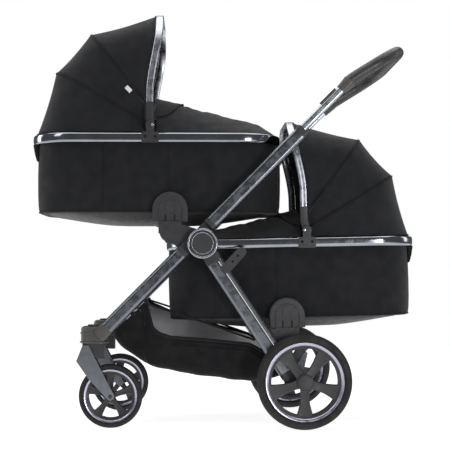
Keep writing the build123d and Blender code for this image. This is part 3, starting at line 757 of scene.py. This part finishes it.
# ---- hood ----
# angles of the front bow, the middle stay, the rear stay and the hem above the rail, and the bodies they ride on
HOOD_ANGLES = (90.0, 57.0, 30.5, -2.5)
HOOD_PARTS = ("hood_bow", "hood_mid", "hood_rear", "cot")
BOW_PROFILE = [
    (-0.012, -0.002), (-0.012, 0.0008), (-0.0104, 0.0027), (-0.007, 0.0035), (-0.003, 0.0029),
    (0.003, 0.0029), (0.007, 0.0035), (0.0104, 0.0027), (0.012, 0.0008), (0.012, -0.002),
    (0.009, -0.0035), (-0.009, -0.0035),
]
BOW_NARROWER = 0.9


def lean(size, height):
    """How far the front bow leans towards the foot end, at that height over the pivot."""
    foot_lean, top_lean, lean_from = size["lean"]
    f = min(1.0, max(0.0, (height - lean_from) / 0.21))
    return foot_lean * min(1.0, height / 0.03) + top_lean * f * f * (3 - 2 * f)


def stay_line(size, angle, half, reach, drop=(0.0, 0.0)):
    """A stay's line; drop moves its feet, and less and less of the line above them."""
    a = radians(angle)
    line = []
    for y, d in arch(half, reach):
        share = max(0.0, 1 - d / reach)
        u = size["pivot"] - d * cos(a) + drop[0] * share
        line.append(Vector((u, y, PIVOT_W + d * sin(a) + drop[1] * share)))
    return line


def hood_lines(size):
    """The lines that hold the cloth: the front bow, the two stays and the hem above the rail."""
    pivot_u, reach = size["pivot"], size["reach"]
    return [
        [Vector((pivot_u + lean(size, d) - 0.0135, y, PIVOT_W + d)) for y, d in arch(0.201, reach - 0.003)],
        stay_line(size, HOOD_ANGLES[1], 0.196, reach - 0.005, (0.004, 0.04)),
        stay_line(size, HOOD_ANGLES[2], 0.19, reach - 0.011),
        [Vector((pivot_u - d, y, 0.0185)) for y, d in arch(HALF_WIDTH - 0.012, pivot_u - 0.01)],
    ]


def make_middle_hoop(cot, size):
    """The middle stay, a slim hoop just inside the cloth."""
    line = stay_line(size, HOOD_ANGLES[1], 0.18, size["reach"] - 0.0125)
    return cot_piece(cot, "middle_hoop", tube(line, 0.003, 8), STEEL, "stay_steel", "mid_stay", "hood_mid")


def panel_rows(size, a_line, b_line, seed):
    """Rows of a panel between two lines. It sags between them, and is drawn in at its sides."""
    steps = 14
    rows = []
    for k in range(steps + 1):
        f = k / steps
        dip = 4 * f * (1 - f)
        row = []
        for p, q in zip(a_line, b_line):
            point = p.lerp(q, f)
            away = point - Vector((size["pivot"], point.y, PIVOT_W))
            sag = 0.0045 * dip * min(1.0, away.length / 0.2)
            sag += 0.0016 * wrinkle(point.x + point.y, point.z, seed, 9.0) * dip
            inward = Vector((0, point.y, 0)).normalized() * (0.004 * dip * min(1.0, abs(point.y) / 0.19) ** 4)
            row.append(point - away.normalized() * sag - inward)
        rows.append(row)
    return rows


def make_hood(cot, size, lines):
    """Three panels between the bow, the two stays and the rail."""
    for i, word in enumerate(("front", "middle", "rear")):
        a_line, b_line = lines[i], lines[i + 1]
        rows = panel_rows(size, a_line, b_line, 11.0 + i)
        verts, faces = skin(rows)
        panel = cot_piece(cot, f"hood_{word}", (verts, faces), HOOD, "hood_fabric", "canopy", None, smooth=180,
                          bake=layers(0.0018, -1.0, material_offset=1), inner=LINING)
        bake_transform(panel)


def make_hood_seams(cot, size, lines):
    """Seams over the stays, and the hems at the bow and above the rail."""
    pivot_point = Vector((size["pivot"], 0, PIVOT_W))
    words = (("bow", 0.0022), ("mid", 0.0013), ("rear", 0.0017), ("low", 0.0024))
    for (word, radius), held_on, angle, body in zip(words, lines, HOOD_ANGLES, HOOD_PARTS):
        line = [p + (p - pivot_point).normalized() * 0.0004 for p in held_on]
        strips = [tube(line, radius, 8)]
        if word in ("mid", "rear"):
            beside = Vector((sin(radians(angle)), 0, cos(radians(angle)))) * 0.0045
            strips.append(tube([p + beside for p in line], 0.0006, 6))
        cot_piece(cot, f"hood_seam_{word}", joined(strips), PIPING, "hood_fabric", body=body)


def make_bow(cot, size):
    """The front bow, a curved metal band, in a lighter copy of the rail's metal that paints in its highlight."""
    outline = arch(0.2005, size["reach"] - 0.0035, 0.1215, 0.058, 16, 20, 20)
    path = [Vector((size["pivot"] + lean(size, d), y, PIVOT_W + d)) for y, d in outline]
    rings = []
    for k, point in enumerate(path):
        ahead = (path[min(k + 1, len(path) - 1)] - path[max(k - 1, 0)]).normalized()
        outward = ahead.cross(Vector((1, 0, 0))).normalized()
        if outward.dot(point - Vector((point.x, 0, PIVOT_W + 0.1))) < 0:
            outward = -outward
        wide = outward.cross(ahead).normalized()
        rings.append([point + wide * a * BOW_NARROWER + outward * b for a, b in BOW_PROFILE])
    cot_piece(cot, "bow_band", capped(rings), BOW_PAINTED_HIGHLIGHT_METAL, "rail_metal", "bow", "hood_bow", smooth=50)


def make_sleeves(cot, size):
    """A plastic sleeve on each foot of the front bow, round at its lower end."""
    end_radius, from_pivot, length, collar = 0.0118, -0.0118, 0.0798, 0.06
    sleeves = []
    for side in (-1, 1):
        rings = []
        for k in range(19):
            d = from_pivot + length * k / 18
            wide = end_radius if d > 0 else sqrt(max(end_radius**2 - d * d, 0.00001))
            thick = 0.0046
            if d > collar:
                wide, thick = 0.0123, 0.0052
            corner = 0.0035 if wide > 0.004 else 0.001
            u = size["pivot"] + lean(size, max(d, 0.0))
            rings.append([
                (u + a, side * 0.2006 + b, PIVOT_W + d) for a, b in rounded(wide, thick, corner, 2, 4)
            ])
        sleeves.append(capped(rings))
    cot_piece(cot, "bow_sleeves", joined(sleeves), DARK, "dark_plastic", "bow_ends", "hood_bow", smooth=40)


# ---- small trim of the carrycots ----
def make_webs(cot):
    """Two webs under the rail at the head end."""
    outline = [(0.003, -0.0135), (0.018, -0.0135), (0.0172, -0.064), (0.013, -0.06), (0.0075, -0.04)]
    webs = []
    for middle in (-0.105, 0.105):
        webs.append(capped([[(u, middle + half, w) for u, w in outline] for half in (-0.012, 0.012)]))
    cot_piece(cot, "tabs", joined(webs), PIPING, "shell_fabric", smooth=30)


def make_trim(cot, size):
    """Screws on the rail clamps, pins on the bow's feet, and the raised lines of the brackets."""
    pivot_u, bracket = size["pivot"], size["bracket"]
    arch_radius, foot = 0.034, -0.242
    studs, bright, plates = [], [], []
    for side in (-1, 1):
        hinge = side * (HINGE_Y + 0.005)
        for du in (-0.0145, 0.0145):
            studs.append(pebble((pivot_u + du, hinge, 0.002), side, 0.0042, 0.0012))
        bright.append(pebble((pivot_u + 0.0065, hinge + side * 0.0012, PIVOT_W), side, 0.0036, 0.0018))
        plates.append(pebble((pivot_u, hinge - side * 0.0002, PIVOT_W), side, 0.0136, 0.0018, 32))
        face = side * (HALF_WIDTH - TUB_INSET + 0.024)
        for du in (-0.02, 0.02):
            plates.append(pebble((bracket + du, face, -0.18), side, 0.0035, 0.001))
        line = [(bracket + arch_radius, face, foot)]
        for k in range(25):
            a = pi * k / 24
            line.append((bracket + arch_radius * cos(a), face, -0.21 + arch_radius * sin(a)))
        line.append((bracket - arch_radius, face, foot))
        plates.append(tube(line, 0.0016, 8))
        for du in (-0.013, 0.013):
            studs.append(tube([(bracket + du, face, -0.224), (bracket + du, face, -0.243)], 0.0019, 8))
    cot_piece(cot, "clamp_screws", joined(studs), PIPING, "dark_plastic")
    cot_piece(cot, "bow_pins", joined(bright), CHROME, "bright_metal")
    cot_piece(cot, "bracket_trim", joined(plates), DARK, "dark_plastic")


def make_tag():
    """A small plain tag sewn on the middle panel of the upper hood."""
    along, over = Vector((0.7, 0, -0.71)), Vector((0.71, 0, 0.7))
    middle = Vector((0.2885, -0.1975, 0.1415))
    rows = []
    for i in range(7):
        f = -1 + i / 3
        out = Vector((0, 0.0012 * (1 - f * f) + 0.0006, 0))
        rows.append([middle + along * 0.0105 * f + over * 0.0062 * g - out for g in (-1, -0.5, 0, 0.5, 1)])
    piece("hood_tag", skin(rows), TAG, "upper_hood_mid", "hood_fabric", place=COTS["upper"]["place"], smooth=180,
          bake=[("SOLIDIFY", dict(thickness=0.0008, offset=0.0))])


def make_cot(cot, size):
    """The soft pieces and small trim of one carrycot."""
    make_shell(cot, size)
    make_shell_seams(cot, size)
    make_belly(cot)
    rail = make_rail(cot)
    make_pad(cot)
    make_apron(cot, size)
    hoop = make_middle_hoop(cot, size)
    lines = hood_lines(size)
    make_hood(cot, size, lines)
    make_hood_seams(cot, size, lines)
    make_bow(cot, size)
    make_sleeves(cot, size)
    make_webs(cot)
    make_trim(cot, size)


for cot, size in COTS.items():
    make_cot(cot, size)
make_tag()


# ---- basket ----
BAG_FRONT, BAG_BACK, BAG_HALF = -0.229, 0.186, 0.178
BAG_NOSE, BAG_FLOOR = 0.104, 0.1235
# heights (x, z) of the edge on each side, and of the lowest line
NEAR_RIM = [(-0.229, 0.36), (-0.223, 0.34), (-0.206, 0.281), (-0.186, 0.266), (-0.154, 0.256), (-0.041, 0.2475),
            (0.0755, 0.2356), (0.13, 0.205), (0.186, 0.172)]
FAR_RIM = [(-0.229, 0.349), (-0.172, 0.323), (0.015, 0.265), (0.088, 0.246), (0.13, 0.215), (0.186, 0.172)]
KEEL = [(-0.335, 0.246), (-0.287, 0.217), (-0.229, 0.178), (-0.189, 0.163), (-0.074, 0.143), (0.04, 0.127),
        (0.0975, 0.124), (0.186, 0.142)]
# the bag's rings: share of the way down from its edge to its lowest line, and how far inside its walls
BAG_RINGS = [
    (0.0, 0.0), (0.05, 0.0), (0.12, 0.001), (0.2, 0.001), (0.3, 0.002), (0.4, 0.002), (0.5, 0.002), (0.6, 0.003),
    (0.7, 0.004), (0.79, 0.006), (0.87, 0.01), (0.93, 0.016), (0.97, 0.024), (1.0, 0.036), (1.0, 0.07),
    (1.0, 0.12), (1.0, 0.165),
]


def between(x, line):
    """Height of a polyline of (x, z) at x."""
    for (x0, z0), (x1, z1) in zip(line, line[1:]):
        if x <= x1:
            return z0 + (z1 - z0) * (x - x0) / (x1 - x0)
    return line[-1][1]


def rim(x, y):
    """Height of the basket's edge, which is cut down on the left side for reaching in."""
    share = min(1.0, max(0.0, (y + BAG_HALF) / (2 * BAG_HALF)))
    return between(x, NEAR_RIM) * (1 - share) + between(x, FAR_RIM) * share


def bag_height(x, y, h):
    """Height of the bag's cloth, h of the way down. Its nose slopes down ahead of the edge."""
    low = between(x, KEEL)
    if x >= BAG_FRONT:
        top = rim(x, y)
        return top + (low - top) * h
    top = 0.36 + (x - BAG_FRONT) * 0.93
    down = max(0.0, h - 0.8) / 0.2
    return max(top + (low - top) * down, low)


def bag_row(h, inset):
    """One ring of the bag, with its sag and folds."""
    front = BAG_FRONT - BAG_NOSE * min(1.0, h / 0.8)
    half_u, half_v = (BAG_BACK - front) / 2 - inset, 0.1775 - inset
    corner = min(max(0.03 - inset * 0.3, 0.008), half_u - 0.001, half_v - 0.001)
    row = []
    for u, v in rounded(half_u, half_v, corner, long=34, turn=6):
        x = (front + BAG_BACK) / 2 + u
        z = bag_height(x, v, h)
        sag = 0.006 * sin(pi * min(1.0, h * 1.05)) * (1 - (abs(u) / max(half_u, 0.01)) ** 4)
        fold = 0.004 * wrinkle(x * 1.2, z, 4.4, 18.0) * sin(pi * min(1.0, h))
        z += 0.0035 * wrinkle(x * 1.5, v * 0.6, 8.8, 16.0) * min(1.0, h * 1.2) ** 3
        row.append((x, v * (1 - (sag * 0.6 + abs(fold)) / BAG_HALF), max(z, BAG_FLOOR)))
    return row


def make_straps():
    """Short straps to the legs, a cord under each edge, and two stitched lines along the left edge."""
    straps = []
    for side in (-1, 1):
        for x, z in ((-0.263, 0.324), (0.18, 0.16)):
            corners = [(x - 0.005, z + 0.006), (x + 0.005, z + 0.006), (x + 0.005, z - 0.006), (x - 0.005, z - 0.006)]
            straps.append(capped([[(a, side * y, b) for a, b in corners] for y in (0.172, 0.2225)]))
        line = [(-0.232, side * 0.179, 0.3555), (-0.06, side * 0.1775, 0.299), (0.09, side * 0.177, 0.247)]
        straps.append(tube(line, 0.003, 8))
    for low in (0.011, 0.024):
        line = [(k / 100, -0.1772, rim(k / 100, -BAG_HALF) - low) for k in range(-15, 15, 2)]
        straps.append(tube(line, 0.0012, 6))
    return piece("basket_straps", joined(straps), PIPING, "rear_frame", "basket_fabric")


def make_basket():
    """The hanging bag, the hem round its edge and its straps."""
    rows = [bag_row(h, inset) for h, inset in BAG_RINGS]
    verts, faces = skin(rows, closed=True)
    faces.append(tuple(range(len(verts) - len(rows[-1]), len(verts))))
    bag = piece(
        "basket_bag", (verts, faces), BAG, "rear_frame", "basket_fabric", ["basket"], smooth=180,
        bake=[("TRIANGULATE", dict(min_vertices=5))] + layers(0.0022, -1.0, material_offset=1), inner=HEATHER,
    )
    hem = piece("basket_hem", tube(rows[0], 0.0042, 8, closed=True), PIPING, "rear_frame", "basket_fabric")
    for soft in (bag, hem, make_straps()):
        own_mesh(soft)


make_basket()


# ---- wheels ----
WHEELS = {
    # axle in the side view, distance from the pram's middle, the tyre's radius, width and depth, the hub's radius,
    # angle of the first spoke, a spoke's half widths at hub and rim, depth of the rim and of its bright lip, and the
    # hub's back end and the crown of its cap, from the wheel's middle
    "front": dict(
        axle=(-0.325, 0.091), middle=0.212, radius=0.091, width=0.034, depth=0.015, hub=0.015, turn=90,
        spoke=(0.0072, 0.015), rim=0.0145, lip=0.007, back=-0.0182, crown=0.0126,
    ),
    "rear": dict(
        axle=(0.225, 0.135), middle=0.272, radius=0.135, width=0.046, depth=0.024, hub=0.024, turn=54,
        spoke=(0.0115, 0.0245), rim=0.0165, lip=0.0084, back=-0.0257, crown=0.02295,
    ),
}


def tyre_profile(wheel):
    """The tyre's section, with fine grooves round its tread."""
    half = wheel["width"] / 2
    foot = wheel["radius"] - wheel["depth"]
    coarse = []
    for k in range(13):
        a = pi * k / 12
        coarse.append((foot + wheel["depth"] * 0.3 + (wheel["depth"] * 0.7) * sin(a) ** 0.55, -half * cos(a)))
    fine = []
    for (r0, d0), (r1, d1) in zip(coarse, coarse[1:]):
        for k in range(4):
            fine.append((r0 + (r1 - r0) * k / 4, d0 + (d1 - d0) * k / 4))
    fine.append(coarse[-1])
    profile = []
    for n, (r, d) in enumerate(fine):
        groove = 0.0006 if n % 4 in (1, 2) and abs(d) < half * 0.93 else 0.0
        profile.append((min(r, wheel["radius"]) - groove, d))
    return [(foot + 0.0003, half - 0.005)] + profile[::-1] + [(foot + 0.0003, -half + 0.005)]


def spoke(wheel, k, middle, side, inner, face):
    """One of the five spokes, flared towards the rim."""
    a = radians(wheel["turn"] + 72 * k)
    root, tip = wheel["spoke"]
    start = wheel["hub"] * 0.72
    rows = []
    for i in range(13):
        f = i / 12
        r = start + (inner + 0.0015 - start) * f
        wide = root + (tip - root) * f**2.4 + 0.25 * root * (1 - f) ** 6
        front = face - 0.003 * sin(pi * f)
        thick = 0.009 + 0.003 * f
        section = [
            (-wide, -0.3), (-wide, -0.75), (-wide + 0.0022, -1.0), (wide - 0.0022, -1.0), (wide, -0.75),
            (wide, -0.3), (wide - 0.0022, 0.0), (wide * 0.45, -0.06), (-wide * 0.45, -0.06), (-wide + 0.0022, 0.0),
        ]
        ring = []
        for across, deep in section:
            x = wheel["axle"][0] + r * cos(a) - across * sin(a)
            z = wheel["axle"][1] + r * sin(a) + across * cos(a)
            ring.append((x, middle + side * (front + deep * thick), z))
        rows.append(ring)
    return capped(rows)


def make_wheel(kind, word, side):
    """Detailed wheel and ribbed tyre in place of the CAD's, on that side."""
    wheel = WHEELS[kind]
    label, body = f"{kind}_{word}", f"{kind}_wheel_{word}"
    centre, middle, hub = wheel["axle"], side * wheel["middle"], wheel["hub"]
    piece(f"{label}_tyre_ribbed", lathe(tyre_profile(wheel), centre, middle, 128), RUBBER, body, "tyre_rubber",
          [f"{label}_tyre"], smooth=35)

    outer, half = wheel["radius"] - wheel["depth"], wheel["width"] / 2 - 0.004
    inner, face = outer - wheel["rim"], half - 0.0035
    section = [(outer, half), (outer - 0.001, half), (inner, half - 0.006), (inner, -half + 0.006),
               (outer - 0.001, -half), (outer, -half)]
    parts = [lathe(section, centre, middle, 128)]
    parts += [spoke(wheel, k, middle, side, inner, face) for k in range(5)]
    bore = 0.0058
    section = [
        (bore, half - 0.006), (hub * 0.6, half - 0.0005), (hub * 0.84, half), (hub * 0.95, half - 0.0012),
        (hub, half - 0.004), (hub, face - 0.012), (hub * 0.72, face - 0.016), (hub * 0.62, wheel["back"] + 0.003),
        (hub * 0.58, wheel["back"]), (bore, wheel["back"]),
    ]
    parts.append(lathe([(r, side * d) for r, d in section], centre, middle, 64))
    piece(f"{label}_wheel_spokes", joined(parts), WHEEL, body, "wheel_plastic", [f"{label}_wheel"], smooth=40)

    lip = wheel["lip"]
    rings = []
    for s in (1, -1):
        section = [
            (outer + 0.0006, s * (half + 0.0006)), (outer - 0.0008, s * (half + 0.0016)),
            (outer - lip * 0.6, s * (half + 0.001)), (outer - lip, s * (half - 0.0022)),
            (outer - lip, s * (half - 0.006)), (outer + 0.0006, s * (half - 0.006)),
        ]
        rings.append(lathe(section, centre, middle, 128))
    piece(f"{label}_rim_ring", joined(rings), RIM_METAL, body, "bright_metal", smooth=40)

    crown = wheel["crown"]
    section = [(0.0001, crown), (hub * 0.62, crown - 0.0001), (hub * 0.78, crown - 0.0009),
               (hub * 0.84, half - 0.0022), (0.0001, half - 0.003)]
    piece(f"{label}_hub_cap", lathe([(r, side * d) for r, d in section], centre, middle, 48), DARK, body,
          "dark_plastic", smooth=40)


for side, word in SIDES:
    make_wheel("front", word, side)
    make_wheel("rear", word, side)


# ---- chassis trim ----
def make_hub_trim():
    """A bright ring on each folding hub, and a rivet on each outer handle tube."""
    radius, face = 0.0305, TUBE_FACE + 0.0116
    rings, rivets = [], []
    for side, _ in SIDES:
        circle = [(HUB[0] + radius * c, side * face, HUB[1] + radius * s) for c, s in turns(64)]
        rings.append(tube(circle, 0.0011, 8, closed=True))
        x, z = leg_point(HANDLE_ANGLE, 0.146, LEG_OFFSET)
        rivets.append(pebble((x, side * TUBE_FACE, z), side, 0.0042, 0.0008))
    piece("hub_inner_rings", joined(rings), SILVER, "rear_frame", "bright_metal")
    piece("tube_rivets", joined(rivets), DARK, "handle_frame", "dark_plastic")


def leg_strip(side, offset, wide):
    """A low raised strip along a rear leg, that far from its middle line and with that half width."""
    ux, uz = -sin(REAR_ANGLE), cos(REAR_ANGLE)
    rows = []
    for distance in (0.068, 0.432):
        x, z = leg_point(REAR_ANGLE, distance, offset)
        rows.append([
            (x + ux * wide * share, side * (TUBE_FACE + rise), z + uz * wide * share)
            for share, rise in ((-1, -0.0004), (-0.6, 0.001), (0.6, 0.001), (1, -0.0004))
        ])
    return capped(rows)


def make_leg_painted_light():
    """Painted light along each rear leg: a bright chrome stripe as a painted highlight of the rounded tube, between
    two dark strips of painted shade at its grooves.
    """
    # the chrome stripe is a painted highlight and the dark strips are painted shade
    highlight_strips = [leg_strip(side, 0.0135, 0.0052) for side, _ in SIDES]
    grooves = [leg_strip(side, *sizes) for side, _ in SIDES for sizes in ((0.006, 0.0016), (0.0205, 0.0012))]
    piece("rear_leg_painted_highlight", joined(highlight_strips), CHROME, "rear_frame", "bright_metal", smooth=30)
    piece("rear_leg_groove_painted_shade", joined(grooves), DARK, "rear_frame", "dark_plastic", smooth=30)


def castor_ring(side, half_u, half_v, corner, height, counts, shrink=1.0):
    """A ring round a castor's upright axis."""
    centre_x, centre_y = CASTOR_X, side * WHEELS["front"]["middle"]
    outline = rounded(half_u, half_v, corner, *counts)
    return [(centre_x + u * shrink, centre_y + v * shrink, height) for u, v in outline]


def make_castor_trim():
    """Ridges round each castor's housing, a lock lever on its top, and the end of its wheel's axle."""
    ridges, levers = [], []
    for side, _ in SIDES:
        for height, grow in ((0.2445, 0.0012), (0.27, 0.0006)):
            ring = castor_ring(side, 0.038 + grow, 0.028 + grow, 0.026, height, (6, 8))
            ridges.append(tube(ring, 0.0022, 8, closed=True))
        levers.append(capped([
            castor_ring(side, 0.02, 0.013, 0.012, height, (4, 8), shrink)
            for height, shrink in ((0.2885, 1.0), (0.2925, 1.0), (0.2945, 0.85))
        ]))
    piece("castor_ridges", joined(ridges), GREY, "front_frame", "grey_plastic")
    x, z = WHEELS["front"]["axle"]
    for side, word in SIDES:
        axle_end = pebble((x, side * 0.2334, z), side, 0.0062, 0.0016, 32)
        piece(f"front_{word}_axle_end", axle_end, DARK, f"arm_{word}", "dark_plastic", smooth=40)
    piece("castor_levers", joined(levers), DARK, "front_frame", "dark_plastic", smooth=40)


def make_grip_seam():
    """A stitched seam along the underside of the grip."""
    slider_end, connector, skin_radius = 0.596, 0.036, 0.0176
    bx, bz = leg_point(HANDLE_ANGLE, slider_end, SLIDER_OFFSET)
    cx, cz = leg_point(HANDLE_ANGLE, slider_end + connector + 0.009, SLIDER_OFFSET)
    dx, dz = cx + 0.148, cz + 0.092
    near = [(bx, -LEG_Y, bz), (cx, -LEG_Y, cz), (dx, -LEG_Y, dz)]
    corners = near + [(x, LEG_Y, z) for x, _, z in near[::-1]]
    path = arc(corners, [0.07, 0.092, 0.092, 0.07], 0.005)
    ends = Vector(corners[0]), Vector(corners[-1])
    line = [p for p in path if min((p - end).length for end in ends) > connector + 0.004]
    under = Vector((0.5279, 0, -0.8493))
    seam, stitches = [], []
    for i, point in enumerate(line):
        ahead = (line[min(i + 1, len(line) - 1)] - line[max(i - 1, 0)]).normalized()
        down = (under - ahead * under.dot(ahead)).normalized()
        seam.append(point + down * skin_radius)
        if i % 2:
            continue
        across = ahead.cross(down)
        for s in (-1, 1):
            turned = (down * 0.975 + across * 0.22 * s).normalized()
            stitches.append(tube([
                point + turned * skin_radius - ahead * 0.0019,
                point + turned * 0.0182,
                point + turned * skin_radius + ahead * 0.0019,
            ], 0.00055, 6))
    piece("grip_seam", tube(seam, 0.0008, 6), PIPING, "handle_slider", "grip_leather")
    piece("grip_stitches", joined(stitches), THREAD, "handle_slider", "grip_leather")


make_hub_trim()
make_leg_painted_light()
make_castor_trim()
make_grip_seam()
